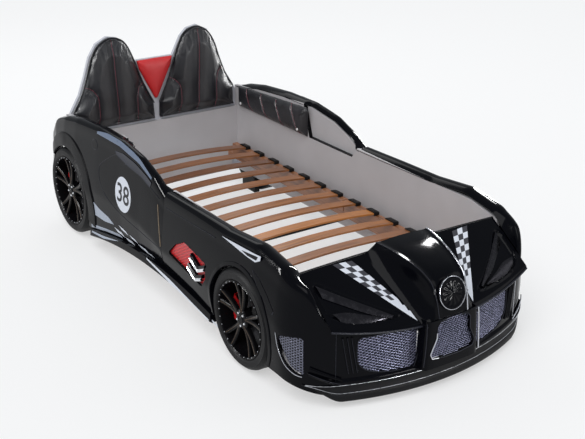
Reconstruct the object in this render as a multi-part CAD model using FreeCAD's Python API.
import FreeCAD, Part
import math
import os

# Race car bed for children. Millimetres, +Z up, nose towards -Y, origin on the floor under the middle of the bed.
# "right" is the driver's right, the -X side. Pieces of one side are drawn on the +X side and mirrored.

V = FreeCAD.Vector

# Mattress space
mattress_width = 900
mattress_length = 1900
mattress_play = 10
# Boards
board = 18
board_bottom = 80
board_rear_top = 538
board_roof_top = 592
rail_top = 486
rail_front_top = 452
rail_taper_length = 150
head_face_y = 1060
headboard_top = 428
# Window notch in the side boards
notch_front_y = 54
notch_rear_y = 392
notch_slant = 50
notch_z = 436
notch_front_step = 36
edge_band = 3
window_panel_thickness = 10
window_panel_drop = 24
# Body shell
skin = 5
roof_reach = 22
belt_reach = 70
flank_reach = 82
roof_roll = 6
roof_wall = 22
pocket_depth = 36
shoulder_drop = 52
shoulder_reach = 30
sill_tuck = 14
rear_end_y = 1165
seam_y = 0
seam_gap = 3
sill_peak = 126
sill_peak_y = 60
sill_drop = 0.00018
shell_lowest = 45
skirt_height = 44
# Wheels
rear_wheel_radius = 208
front_wheel_radius = 196
wheel_floor_gap = 2
rear_wheel_y = 934
front_wheel_y = -613
tyre_set_back = 4
tyre_section = 44
arch_gap = 8
rim_wall = 5
spoke_count = 5
rim_back = 6
hub_radius = 38
disc_radius = 112
disc_thickness = 8
bolt_circle = 26
bolt_radius = 6
bolt_head = 6
spoke_depth = 22
spoke_thickness = 12
caliper_thickness = 22
# Nose
nose_front_y = -1125
nose_bow_radius = 1060
nose_corner = 275
corner_round = 32
bumper_seam = 58
bonnet_rear_z = 455
bonnet_slope = 0.67
bonnet_crown = 10
bonnet_overhang = 12
bonnet_gap = 4
bonnet_bow_radius = 1350
bumper_bottom = 42
splitter_bottom = 28
splitter_top = 92
splitter_step = 60
splitter_reach = 16
splitter_upper_reach = 8
prow_half = 116
prow_top = 290
prow_bottom = 112
prow_reach = 40
badge_radius = 62
badge_set_back = 16
badge_z = 375
badge_seat = 6
grille_thickness = 3
# Slatted base, two half frames
slat_count = 13
rear_slat_count = 7
slat_inset = 156
slat_width = 53
slat_thickness = 8
slat_rise = 26
rail_width = 28
rail_height = 55
rail_clearance = 30
rail_bottom = 190
rail_end_gap = 48
half_frame_gap = 6
ledge_height = 25
slat_play = 0.3
cap_wall = 3
cap_length = 52
tube_radius = 11
# Soft pieces
pad_depth = 48
pad_bottom_gap = 4
bolster_depth = 25
bolster_rear_y = 1028
bolster_front_y = 398
bolster_bottom = 434
bolster_rear_top = 548
bolster_front_top = 584
seam_groove = 3.5
screw_radius = 7
screw_head = 3

inner_half = mattress_width / 2 + mattress_play
board_out = inner_half + board
roof_x = board_out + roof_reach
half_width = board_out + flank_reach
tyre_face_x = half_width - tyre_set_back
rail_outer_x = inner_half - rail_clearance
bumper_half = board_out - bumper_seam
bonnet_half = inner_half - bonnet_gap
corner_back_y = nose_front_y + nose_corner
nose_cut_y = nose_front_y - 200
foot_face_y = head_face_y - mattress_length - 2 * mattress_play
head_back_y = head_face_y + board
foot_front_y = foot_face_y - board
slat_pitch = (head_face_y - foot_face_y - 2 * slat_inset) / (slat_count - 1)
first_slat_y = head_face_y - slat_inset
half_split_y = first_slat_y - slat_pitch * (rear_slat_count - 0.5)
rail_top_z = rail_bottom + rail_height
slat_end_x = rail_outer_x - cap_wall - 6
hub_face_x = tyre_face_x - 14
badge_axis = V(0, -0.96, 0.28)


def box(x0, x1, y0, y1, z0, z1):
    return Part.makeBox(x1 - x0, y1 - y0, z1 - z0, V(x0, y0, z0))


def face_of(points):
    return Part.Face(Part.makePolygon(points + points[:1]))


def prism_x(outline, x0, x1):
    """Solid whose outline is given as (y, z) points, from x0 to x1."""
    return face_of([V(x0, y, z) for y, z in outline]).extrude(V(x1 - x0, 0, 0))


def prism_y(outline, y0, y1):
    """Solid whose outline is given as (x, z) points, from y0 to y1."""
    return face_of([V(x, y0, z) for x, z in outline]).extrude(V(0, y1 - y0, 0))


def prism_z(outline, z0, z1):
    """Solid whose outline is given as (x, y) points, from z0 to z1."""
    return face_of([V(x, y, z0) for x, y in outline]).extrude(V(0, 0, z1 - z0))


def ring_points(radius, count, a, b):
    """Corners of a regular outline round (a, b)."""
    turn = 2 * math.pi / count
    return [(a + radius * math.cos(turn * k), b + radius * math.sin(turn * k)) for k in range(count)]


def rod_x(radius, x0, x1, y, z):
    return Part.makeCylinder(radius, x1 - x0, V(x0, y, z), V(1, 0, 0))


def mirrored(shape):
    return shape.mirror(V(0, 0, 0), V(1, 0, 0))


def save(name, shape):
    shape.exportStep(os.path.join("parts", name + ".step"))


def save_pair(name, shape):
    """The drawn side is the left one; the right one is its mirror image."""
    save(name + "_left", shape)
    save(name + "_right", mirrored(shape))


class Wheel:
    """Where a wheel stands: its centre, and the radii of its tyre, rim and arch."""

    def __init__(self, y, radius):
        self.y = y
        self.z = radius + wheel_floor_gap
        self.radius = radius
        self.rim = radius - tyre_section
        self.arch = radius + arch_gap


rear_wheel = Wheel(rear_wheel_y, rear_wheel_radius)
front_wheel = Wheel(front_wheel_y, front_wheel_radius)


# ---------------------------------------------------------------- boards

def side_board():
    outline = [
        (head_back_y, board_bottom),
        (head_back_y, board_rear_top),
        ((head_back_y + notch_rear_y) / 2, board_roof_top - 16),
        (notch_rear_y + notch_slant, board_roof_top),
        (notch_rear_y, notch_z),
        (notch_front_y, notch_z),
        (notch_front_y - notch_front_step, rail_top),
        (foot_front_y + rail_taper_length, rail_top),
        (foot_front_y, rail_front_top),
        (foot_front_y, board_bottom),
    ]
    return prism_x(outline, inner_half, board_out)


def window_trim():
    """Edge band that lines the rear and the lower edge of the window notch."""
    outline = [
        (notch_rear_y + notch_slant, board_roof_top),
        (notch_rear_y, notch_z),
        (notch_front_y, notch_z),
        (notch_front_y, notch_z + edge_band),
        (notch_rear_y - edge_band, notch_z + edge_band),
        (notch_rear_y + notch_slant - edge_band, board_roof_top),
    ]
    return prism_x(outline, inner_half, board_out)


def end_board(y0, top):
    return box(-inner_half, inner_half, y0, y0 + board, board_bottom, top)


def ledge():
    return box(rail_outer_x - rail_width, inner_half, foot_face_y, head_face_y, rail_bottom - ledge_height, rail_bottom)


def corner_brackets():
    leg = 34
    steel = 3
    low = board_bottom + 20
    tall = rail_bottom - ledge_height - low - 6
    angle = box(inner_half - leg, inner_half, head_face_y - steel, head_face_y, low, low + tall)
    angle = angle.fuse(box(inner_half - steel, inner_half, head_face_y - leg, head_face_y, low, low + tall))
    angle = angle.removeSplitter()
    middle_y = (head_face_y + foot_face_y) / 2
    front = angle.mirror(V(0, middle_y, 0), V(0, 1, 0))
    return Part.makeCompound([angle, front, mirrored(angle), mirrored(front)])


def floor_feet():
    """Blocks under the side boards, hidden behind the wheels."""
    foot_length = 120
    feet = []
    for y in (rear_wheel_y, front_wheel_y):
        foot = box(inner_half - 12, board_out, y - foot_length / 2, y + foot_length / 2, 0, board_bottom)
        feet += [foot, mirrored(foot)]
    return Part.makeCompound(feet)


# ---------------------------------------------------------------- body shell

def sill_height(y):
    return max(shell_lowest, sill_peak - sill_drop * (y - sill_peak_y) ** 2)


def body_section(y, top, tuck):
    """Closed (x, z) section of the side body: an arc over the roof edge, an arc down the flank, a tucked sill."""
    inner = V(board_out, y, top - roof_roll)
    crown = V(roof_x, y, top)
    shoulder = V(roof_x + shoulder_reach - tuck / 2, y, top - shoulder_drop)
    belt = V(board_out + belt_reach - tuck, y, 0.72 * top)
    flank = V(half_width - tuck, y, 0.5 * top)
    bottom = sill_height(y) + skirt_height
    sill = V(half_width - sill_tuck - tuck, y, bottom)
    corner = V(board_out, y, bottom)
    over = Part.Arc(inner, crown, shoulder).toShape()
    down = Part.Arc(shoulder, belt, flank).toShape()
    sides = [Part.makeLine(flank, sill), Part.makeLine(sill, corner), Part.makeLine(corner, inner)]
    return Part.Wire([over, down] + sides)


def side_body(stations):
    return Part.makeLoft([body_section(*station) for station in stations], True, True)


def side_pocket(stations):
    """The hollow behind the roof line of the stations, open towards the board and below."""
    outline = [(y, top - roof_wall) for y, top, tuck in stations]
    outline += [(stations[-1][0], 0), (stations[0][0], 0)]
    return prism_x(outline, board_out - 30, board_out + pocket_depth)


def roof_top(y):
    """Height of the rear side body's roof line at y."""
    for rear, front in zip(rear_stations, rear_stations[1:]):
        if y >= front[0]:
            break
    return front[1] + (rear[1] - front[1]) * (y - front[0]) / (rear[0] - front[0])


# Roof and rail line of the side bodies: y, height of the top, tuck of the flank
rear_stations = [
    (rear_end_y, 450, 22),
    (rear_end_y - 60, 520, 8),
    (rear_end_y - 180, 560, 0),
    (850, 584, 0),
    (620, 602, 6),
    (400, 603, 14),
    (220, 578, 16),
    (100, 536, 14),
    (seam_y + seam_gap / 2, 482, 10),
]
front_stations = [
    (seam_y - seam_gap / 2, 494, 10),
    (-250, 500, 6),
    (-480, 503, 1),
    (-690, 522, 0),
    (corner_back_y, 494, 0),
    (corner_back_y - 110, 446, 2),
    (corner_back_y - 210, 388, 6),
]


def wheel_arch(wheel):
    return rod_x(wheel.arch, inner_half, half_width + 20, wheel.y, wheel.z)


def rear_shell():
    outer = side_body(rear_stations)
    y, top, tuck = rear_stations[-1]
    pocket = side_pocket(rear_stations[1:-1] + [(y - 4, top, tuck)])
    return outer.cut(pocket).cut(wheel_arch(rear_wheel))


def arc_y(radius, front_y, x):
    """y of a bow of the given radius at the distance x from the middle."""
    return front_y + radius - math.sqrt(radius ** 2 - x ** 2)


def plan_face(inset):
    """Plan outline of the nose: a shallow bow, rounded corners and straight flanks."""
    x_flank = half_width - 4 - inset
    x_seam = bumper_half
    front = nose_front_y + inset
    bow_end_y = arc_y(nose_bow_radius, front, x_seam)
    bow = Part.Arc(V(-x_seam, bow_end_y, 0), V(0, front, 0), V(x_seam, bow_end_y, 0)).toShape()
    middle = V(x_flank - corner_round, corner_back_y - 112 + inset / 2, 0)
    left = Part.Arc(V(x_seam, bow_end_y, 0), middle, V(x_flank, corner_back_y, 0)).toShape()
    right = Part.Arc(V(-x_flank, corner_back_y, 0), V(-middle.x, middle.y, 0), V(-x_seam, bow_end_y, 0)).toShape()
    back_y = corner_back_y + 350
    a = V(x_flank, corner_back_y, 0)
    b = V(x_flank, back_y, 0)
    c = V(-x_flank, back_y, 0)
    d = V(-x_flank, corner_back_y, 0)
    edges = [bow, left, Part.makeLine(a, b), Part.makeLine(b, c), Part.makeLine(c, d), right]
    return Part.Face(Part.Wire(Part.__sortEdges__(edges)))


def plan_solid(inset, z0, z1):
    face = plan_face(inset)
    face.translate(V(0, 0, z0))
    return face.extrude(V(0, 0, z1 - z0))


def bonnet_z(y):
    return bonnet_rear_z + bonnet_slope * (y - foot_face_y)


def bonnet_body(z_offset, bottom_z):
    """Everything under the bonnet surface moved by z_offset, down to bottom_z, or one skin thick."""
    half = half_width - 40
    z = bonnet_rear_z + z_offset
    floor = z - skin if bottom_z is None else bottom_z - 400
    edges = [Part.Arc(V(-half, foot_face_y, z), V(0, foot_face_y, z + bonnet_crown), V(half, foot_face_y, z)).toShape()]
    edges.append(Part.makeLine(V(half, foot_face_y, z), V(half, foot_face_y, floor)))
    if bottom_z is None:
        low_crown = V(0, foot_face_y, floor + bonnet_crown)
        edges.append(Part.Arc(V(half, foot_face_y, floor), low_crown, V(-half, foot_face_y, floor)).toShape())
    else:
        edges.append(Part.makeLine(V(half, foot_face_y, floor), V(-half, foot_face_y, floor)))
    edges.append(Part.makeLine(V(-half, foot_face_y, floor), V(-half, foot_face_y, z)))
    reach = nose_front_y - 60 - foot_face_y
    return Part.Face(Part.Wire(edges)).extrude(V(0, reach, bonnet_slope * reach))


vent_outline = [(-62, 262), (-120, 318), (-190, 352), (-362, 330), (-374, 268), (-336, 220)]
corner_grille_outline = [(corner_back_y - 22, 252), (corner_back_y - 128, 288), (corner_back_y - 136, 120),
                         (corner_back_y - 80, 152)]


def front_shell():
    side_x = half_width + 100
    plan_back_y = corner_back_y + 350
    outer = side_body(front_stations)
    outer = outer.common(plan_solid(0, 0, 700).fuse(box(0, side_x, plan_back_y, seam_y, 0, 700)))
    y, top, tuck = front_stations[0]
    pocket = side_pocket([(y + 4, top, tuck)] + front_stations[1:])
    pocket = pocket.common(plan_solid(skin, 0, 700).fuse(box(0, side_x, plan_back_y, seam_y + 4, 0, 700)))
    shell = outer.cut(pocket)
    wall = plan_solid(0, shell_lowest, 500).cut(plan_solid(skin, 0, 600))
    wall = wall.common(box(bumper_half + 2, half_width - 40, nose_cut_y, corner_back_y - 40, 0, 600))
    wall = wall.common(bonnet_body(-skin - 2, 0))
    shell = shell.fuse(wall)
    shell = shell.cut(wheel_arch(front_wheel))
    shell = shell.cut(prism_x(vent_outline, board_out + 20, half_width + 20))
    shell = shell.cut(prism_x(corner_grille_outline, board_out, half_width + 20))
    return shell.removeSplitter()


def skirt():
    wires = []
    front_end = front_wheel.y + front_wheel.arch + 8
    rear_end = rear_wheel.y - rear_wheel.arch - 8
    steps = 6
    for i in range(steps + 1):
        y = front_end + (rear_end - front_end) * i / steps
        low = sill_height(y)
        high = low + skirt_height - 3
        points = [V(board_out, y, low + 12), V(half_width - 16, y, low), V(half_width - 3, y, low + 10)]
        points += [V(half_width - 7, y, high), V(board_out, y, high)]
        wires.append(Part.makePolygon(points + points[:1]))
    return Part.makeLoft(wires, True)


def window_panel():
    rear_y = notch_rear_y + notch_slant + 40
    front_y = notch_front_y - 30
    low = notch_z - 60
    arch = [rear_y] + [y for y, top, tuck in rear_stations if front_y < y < rear_y] + [front_y]
    outline = [(rear_y, low)] + [(y, roof_top(y) - window_panel_drop) for y in arch] + [(front_y, low)]
    return prism_x(outline, board_out, board_out + window_panel_thickness)


# ---------------------------------------------------------------- nose

def hump():
    """Raised middle of the bonnet: wide at the rear, narrow over the badge, with a steep front."""
    rows = [(foot_face_y - 1, 158, 104, 494), (nose_front_y + 125, 142, 88, 478), (nose_front_y + 30, 128, 74, 446)]
    rows += [(nose_front_y - 5, 124, 70, 412), (nose_front_y - prow_reach + 1, prow_half, 66, prow_top + 6)]
    wires = []
    for y, low_half, top_half, top in rows:
        low = bonnet_z(y) - skin
        points = [V(-low_half, y, low), V(low_half, y, low), V(top_half, y, top - 8), V(top_half - 14, y, top)]
        points += [V(14 - top_half, y, top), V(-top_half, y, top - 8)]
        wires.append(Part.makePolygon(points + points[:1]))
    return Part.makeLoft(wires, True, True)


# Distance in from the bonnet's side and back from the nose
headlight_leaf = [(28, 217), (111, 153), (211, 80), (276, 39), (156, 49), (58, 77), (18, 125)]
headlight_outline = [(bonnet_half - x, nose_front_y + y) for x, y in headlight_leaf]


def bonnet_plan():
    front = nose_front_y - bonnet_overhang
    end_y = arc_y(bonnet_bow_radius, front, bonnet_half)
    arc = Part.Arc(V(-bonnet_half, end_y, 0), V(0, front, 0), V(bonnet_half, end_y, 0)).toShape()
    a = V(bonnet_half, end_y, 0)
    b = V(bonnet_half, foot_face_y, 0)
    c = V(-bonnet_half, foot_face_y, 0)
    d = V(-bonnet_half, end_y, 0)
    wire = Part.Wire([arc, Part.makeLine(a, b), Part.makeLine(b, c), Part.makeLine(c, d)])
    return Part.Face(wire).extrude(V(0, 0, 700))


def bonnet():
    sheet = bonnet_body(0, None).common(bonnet_plan())
    lamp = prism_z(headlight_outline, 200, 600)
    sheet = sheet.cut(lamp).cut(mirrored(lamp))
    shape = sheet.fuse(hump()).removeSplitter()
    return shape.cut(badge_disc(badge_radius, -badge_seat, 60))


def headlight():
    lamp = prism_z(headlight_outline, 200, 600)
    return bonnet_body(-2, None).common(lamp)


centre_grille_outline = [(-80, 158), (80, 158), (58, 272), (-58, 272)]
side_grille_outline = [(136, 246), (340, 258), (352, 168), (330, 150), (215, 122), (138, 135)]


def nose_wall(inset, thickness, z0, z1):
    return plan_solid(inset, z0, z1).cut(plan_solid(inset + thickness, z0 - 50, z1 + 50))


def front_bumper():
    wall = nose_wall(0, skin, bumper_bottom, 500)
    wall = wall.common(box(-bumper_half, bumper_half, nose_cut_y, corner_back_y - 50, 0, 600))
    wall = wall.common(bonnet_body(-skin - 2, 0))
    prow = prism_y([(-prow_half, prow_top), (prow_half, prow_top), (prow_half + 8, prow_bottom),
                    (-prow_half - 8, prow_bottom)], nose_front_y - prow_reach, nose_front_y + 30)
    wall = wall.fuse(prow.cut(plan_solid(skin, 0, 600))).cut(hump())
    wall = wall.cut(prism_y(centre_grille_outline, nose_cut_y, corner_back_y - 50))
    side_hole = prism_y(side_grille_outline, nose_cut_y, corner_back_y - 50)
    return wall.cut(side_hole).cut(mirrored(side_hole))


def splitter():
    """Lip under the nose: a plate below the wall, and two steps that stand proud of it."""
    plate = plan_solid(-splitter_reach, splitter_bottom, bumper_bottom).cut(plan_solid(40, 0, 200))
    low = plan_solid(-splitter_reach, bumper_bottom, splitter_step)
    high = plan_solid(-splitter_upper_reach, splitter_step, splitter_top)
    lip = plate.fuse(low.fuse(high).cut(plan_solid(0, 0, 200)))
    half = half_width - 40
    return lip.common(box(-half, half, nose_cut_y, corner_back_y - 30, 0, 200)).removeSplitter()


def grille(x0, x1, z0, z1):
    plate = nose_wall(skin, grille_thickness, z0, z1)
    return plate.common(box(x0, x1, nose_cut_y, corner_back_y - 50, z0, z1))


def corner_grille():
    space = box(bumper_half + 10, half_width + 40, corner_back_y - 145, corner_back_y - 14, 100, 300)
    plate = nose_wall(skin, grille_thickness, 112, 296).common(space)
    pieces = plate.cut(front_shell()).Solids
    return max(pieces, key=lambda piece: piece.Volume)


def badge_disc(radius, start, end):
    """Disc square to the steep front of the hump, from start to end along its axis."""
    middle = V(0, nose_front_y - badge_set_back, badge_z)
    return Part.makeCylinder(radius, end - start, middle + badge_axis * start, badge_axis)


def nose_badge():
    return badge_disc(badge_radius, -badge_seat, badge_seat)


def side_vent():
    return prism_x(vent_outline, half_width - 24, half_width - 20)


def vent_fins():
    fins = []
    for y, z in ((-258, 296), (-300, 262)):
        outline = [(y, z), (y - 44, z - 28), (y - 20, z + 28), (y - 12, z)]
        fins.append(prism_x(outline, half_width - 20, half_width - 8))
    return Part.makeCompound(fins)


# ---------------------------------------------------------------- wheels

def turned(outline, wheel):
    """Solid of revolution about the wheel axis; the outline is (radius, x) points."""
    face = face_of([V(x, wheel.y, wheel.z + r) for r, x in outline])
    return face.revolve(V(0, wheel.y, wheel.z), V(1, 0, 0), 360)


def tyre(wheel):
    outline = [(wheel.rim, board_out), (wheel.radius, board_out), (wheel.radius, tyre_face_x - 14)]
    outline += [(wheel.radius - 14, tyre_face_x), (wheel.rim, tyre_face_x - 6)]
    return [turned(outline, wheel)]


def spoke(wheel, angle):
    """One of the twin spokes: two blades that meet at the hub and part towards the rim."""
    reach = wheel.rim - 2
    points = [(-5, 20), (-13, reach), (-6, reach), (0, 60), (6, reach), (13, reach), (5, 20)]
    face = face_of([V(tyre_face_x - spoke_depth, wheel.y + y, wheel.z + z) for y, z in points])
    blade = face.extrude(V(spoke_thickness, 0, 0))
    blade.rotate(V(0, wheel.y, wheel.z), V(1, 0, 0), angle)
    return blade


def rim(wheel):
    inner = wheel.rim - rim_wall
    back_x = board_out + rim_back
    outline = [(0, board_out), (wheel.rim, board_out), (wheel.rim, tyre_face_x - 6), (inner, tyre_face_x - 8)]
    outline += [(inner, back_x), (hub_radius, back_x), (hub_radius, hub_face_x), (0, hub_face_x)]
    shape = turned(outline, wheel)
    for i in range(spoke_count):
        shape = shape.fuse(spoke(wheel, 360 / spoke_count * i))
    return [shape.removeSplitter()]


def on_each_wheel(make):
    shapes = []
    for wheel in (rear_wheel, front_wheel):
        made = make(wheel)
        shapes += made + [mirrored(shape) for shape in made]
    return Part.makeCompound(shapes)


def brake_disc(wheel):
    x0 = board_out + rim_back
    disc = prism_x(ring_points(disc_radius, 28, wheel.y, wheel.z), x0, x0 + disc_thickness)
    return [disc.cut(rod_x(hub_radius, x0 - 1, x0 + 30, wheel.y, wheel.z))]


def caliper(wheel):
    """A caliper on the disc, on the side towards the rear: the part of a ring that lies in a wedge."""
    x0 = board_out + rim_back + disc_thickness
    ring = rod_x(disc_radius + 6, x0, x0 + caliper_thickness, wheel.y, wheel.z)
    ring = ring.cut(rod_x(disc_radius - 34, x0 - 1, x0 + 30, wheel.y, wheel.z))
    wedge = prism_x([(wheel.y, wheel.z), (wheel.y + 200, wheel.z + 110), (wheel.y + 200, wheel.z - 110)],
                    x0 - 1, x0 + 30)
    return [ring.common(wedge)]


def wheel_bolts(wheel):
    bolts = []
    for i in range(spoke_count):
        angle = 2 * math.pi * (i + 0.5) / spoke_count
        y = wheel.y + bolt_circle * math.sin(angle)
        z = wheel.z + bolt_circle * math.cos(angle)
        bolts.append(prism_x(ring_points(bolt_radius, 6, y, z), hub_face_x, hub_face_x + bolt_head))
    return bolts


# ---------------------------------------------------------------- slatted base

def slat_rail(y0, y1):
    return box(rail_outer_x - rail_width, rail_outer_x, y0, y1, rail_bottom, rail_top_z)


def slat(y):
    """Bent wood slat: an arched strip between the end caps."""
    low = rail_top_z + cap_wall
    points = []
    for z, sign in ((low, 1), (low + slat_thickness, -1)):
        points.append([V(-sign * slat_end_x, 0, z), V(0, 0, z + slat_rise), V(sign * slat_end_x, 0, z)])
    under = Part.Arc(*points[0]).toShape()
    over = Part.Arc(*points[1]).toShape()
    sides = [Part.makeLine(points[0][2], points[1][0]), Part.makeLine(points[1][2], points[0][0])]
    face = Part.Face(Part.Wire([under, sides[0], over, sides[1]]))
    face.translate(V(0, y - slat_width / 2, 0))
    return face.extrude(V(0, slat_width, 0))


def slat_cap(y):
    """Plastic holder on the rail, with a sloping pocket for the end of the slat."""
    inner_x = rail_outer_x - cap_length
    pocket_x = slat_end_x + slat_play
    low = rail_top_z + cap_wall - slat_play
    lift = slat_rise * (1 - (inner_x / slat_end_x) ** 2)
    high = low + slat_thickness + 2 * slat_play
    outline = [(inner_x, rail_top_z), (rail_outer_x, rail_top_z), (rail_outer_x, high + cap_wall)]
    outline += [(inner_x, high + lift + cap_wall)]
    half = slat_width / 2 + slat_play
    cap = prism_y(outline, y - half - cap_wall, y + half + cap_wall)
    pocket = [(inner_x - 1, low + lift), (pocket_x, low), (pocket_x, high), (inner_x - 1, high + lift)]
    return cap.cut(prism_y(pocket, y - half, y + half))


def slat_half(first, last):
    slats = []
    caps = []
    for i in range(first, last):
        y = first_slat_y - slat_pitch * i
        cap = slat_cap(y)
        slats.append(slat(y))
        caps += [cap, mirrored(cap)]
    return Part.makeCompound(slats), Part.makeCompound(caps)


def cross_tube():
    y = first_slat_y - slat_pitch * (rear_slat_count + 0.5)
    tube = rod_x(tube_radius, -(rail_outer_x - rail_width), rail_outer_x - rail_width, y, rail_top_z - 18)
    return tube.cut(rod_x(tube_radius - 1.5, -inner_half, inner_half, y, rail_top_z - 18))


# ---------------------------------------------------------------- soft pieces

# Outline of the left seat back, seen from the front: x, height; each pair of spans is one arc
headrest_side = [(446, 540), (400, 616), (368, 700), (338, 790), (298, 850), (240, 879), (184, 868), (146, 832),
                 (108, 747)]
headrest_foot = [(69, 637), (8, 520)]
headrest_bottom = headboard_top + pad_bottom_gap


def pad_outline():
    """Points (x, z) round the seat back: its arcs in short steps, then the straight foot."""
    steps = 5
    points = []
    for i in range(0, len(headrest_side) - 1, 2):
        arc = Part.Arc(*[V(x, 0, z) for x, z in headrest_side[i:i + 3]]).toShape()
        points += [(point.x, point.z) for point in arc.discretize(steps + 1)[:-1]]
    points += [headrest_side[-1]] + headrest_foot
    return points + [(headrest_foot[-1][0], headrest_bottom), (450, headrest_bottom)]


def pad_wire(y, shrink):
    """The seat back outline drawn in by about the distance shrink towards its middle."""
    middle = V(228, y, 640)
    share = 1 - shrink / 221
    points = [middle + (V(x, y, z) - middle) * share for x, z in pad_outline()]
    return Part.makePolygon(points + points[:1])


def groove(start, end):
    """Four-sided cutter for a sewn seam between two points."""
    along = end - start
    side = along.cross(V(0, 1, 0)).normalize() * seam_groove
    deep = along.cross(side).normalize() * seam_groove
    return face_of([start + side, start + deep, start - side, start - deep]).extrude(along)


def headrest():
    """Stuffed seat back: widest in the middle of its side, drawn in at the back and over the front."""
    rows = [(0, 5), (0.4, 0), (0.78, 10), (1, 60)]
    pad = Part.makeLoft([pad_wire(head_back_y - pad_depth * share, shrink) for share, shrink in rows], True, True)
    front_y = head_back_y - pad_depth
    low = headrest_bottom
    crease = [V(228, front_y + 1, low), V(238, front_y, 850)]
    outer = [V(330, front_y, low), V(334, front_y, 590), V(396, front_y + 8, 640)]
    inner = [V(116, front_y, low), V(118, front_y, 590), V(78, front_y + 8, 650)]
    for route in (crease, outer, inner):
        for i in range(len(route) - 1):
            pad = pad.cut(groove(route[i], route[i + 1]))
    return pad


def center_pad():
    back = head_back_y
    rows = [(0, 4), (0.4, 0), (0.8, 3), (1, 14)]
    wires = []
    for share, shrink in rows:
        y = back - 24 * share
        top = 746 - shrink
        half = 100 - 1.2 * shrink
        low = 540 + 1.8 * shrink
        points = [V(-half, y, top), V(half, y, top), V(6, y, low), V(-6, y, low)]
        wires.append(Part.makePolygon(points + points[:1]))
    return Part.makeLoft(wires, True, True)


def headrest_backboard():
    grow = 5
    half = [(inner_half, 240), (inner_half, 520)] + [(x + grow, z + grow * 0.6) for x, z in headrest_side[:-1]]
    half += [(headrest_side[-1][0] - 4, headrest_side[-1][1])]
    outline = half + [(-x, z) for x, z in reversed(half)]
    return prism_y(outline, head_back_y, head_back_y + board)


def side_bolster():
    """Leather pad on the side board, with slanted seams and a rounded front end."""
    x0 = inner_half
    rear_y = bolster_rear_y
    front_y = bolster_front_y
    wires = []
    rows = [(0, 5), (0.35, 0), (0.75, 3), (0.92, 10), (1, 20)]
    for share, shrink in rows:
        x = x0 - bolster_depth * share
        points = [V(x, rear_y - shrink, bolster_bottom + shrink), V(x, rear_y - shrink, bolster_rear_top - shrink)]
        points += [V(x, front_y + shrink, bolster_front_top - shrink), V(x, front_y + shrink, bolster_bottom + shrink)]
        wires.append(Part.makePolygon(points + points[:1]))
    pad = Part.makeLoft(wires, True, True)
    seams = 4
    for i in range(seams):
        y = front_y + (rear_y - front_y) * (i + 0.75) / (seams + 0.5)
        low = V(x0 - bolster_depth, y - 40, bolster_bottom - 10)
        pad = pad.cut(groove(low, V(low.x, y + 30, bolster_front_top + 10)))
    return pad


def bolster_screws():
    screws = []
    face_x = inner_half - bolster_depth
    for y in (bolster_rear_y - 50, bolster_front_y + 60):
        screw = prism_x(ring_points(screw_radius, 8, y, bolster_bottom + 30), face_x - screw_head, face_x)
        screws += [screw, mirrored(screw)]
    return Part.makeCompound(screws)


# ---------------------------------------------------------------- writing the pieces

def main():
    os.makedirs("parts", exist_ok=True)
    save_pair("side_board", side_board())
    save_pair("window_trim", window_trim())
    save_pair("window_panel", window_panel())
    save("headboard_board", end_board(head_face_y, headboard_top))
    save("foot_board", end_board(foot_front_y, bonnet_z(foot_front_y) - skin - 0.5))
    save_pair("ledge", ledge())
    save("corner_brackets", corner_brackets())
    save("floor_feet", floor_feet())

    save_pair("rear_shell", rear_shell())
    save_pair("front_shell", front_shell())
    save_pair("skirt", skirt())
    save("bonnet", bonnet())
    save_pair("headlight", headlight())
    save("front_bumper", front_bumper())
    save("splitter", splitter())
    save("grille_center", grille(-92, 92, 148, 264))
    save_pair("grille_side", grille(126, 362, 112, 262))
    save_pair("corner_grille", corner_grille())
    save("nose_badge", nose_badge())
    save_pair("side_vent", side_vent())
    save_pair("vent_fins", vent_fins())

    save("tyres", on_each_wheel(tyre))
    save("rims", on_each_wheel(rim))
    save("brake_discs", on_each_wheel(brake_disc))
    save("brake_calipers", on_each_wheel(caliper))
    save("wheel_bolts", on_each_wheel(wheel_bolts))

    rear_y = (half_split_y + half_frame_gap / 2, head_face_y - rail_end_gap)
    front_y = (foot_face_y + 8, half_split_y - half_frame_gap / 2)
    save_pair("slat_rail_rear", slat_rail(*rear_y))
    save_pair("slat_rail_front", slat_rail(*front_y))
    slats, caps = slat_half(0, rear_slat_count)
    save("slats_rear", slats)
    save("slat_caps_rear", caps)
    slats, caps = slat_half(rear_slat_count, slat_count)
    save("slats_front", slats)
    save("slat_caps_front", caps)
    save("cross_tube", cross_tube())

    save("headrest_backboard", headrest_backboard())
    save_pair("headrest", headrest())
    save("center_pad", center_pad())
    save_pair("side_bolster", side_bolster())
    save("bolster_screws", bolster_screws())


main()
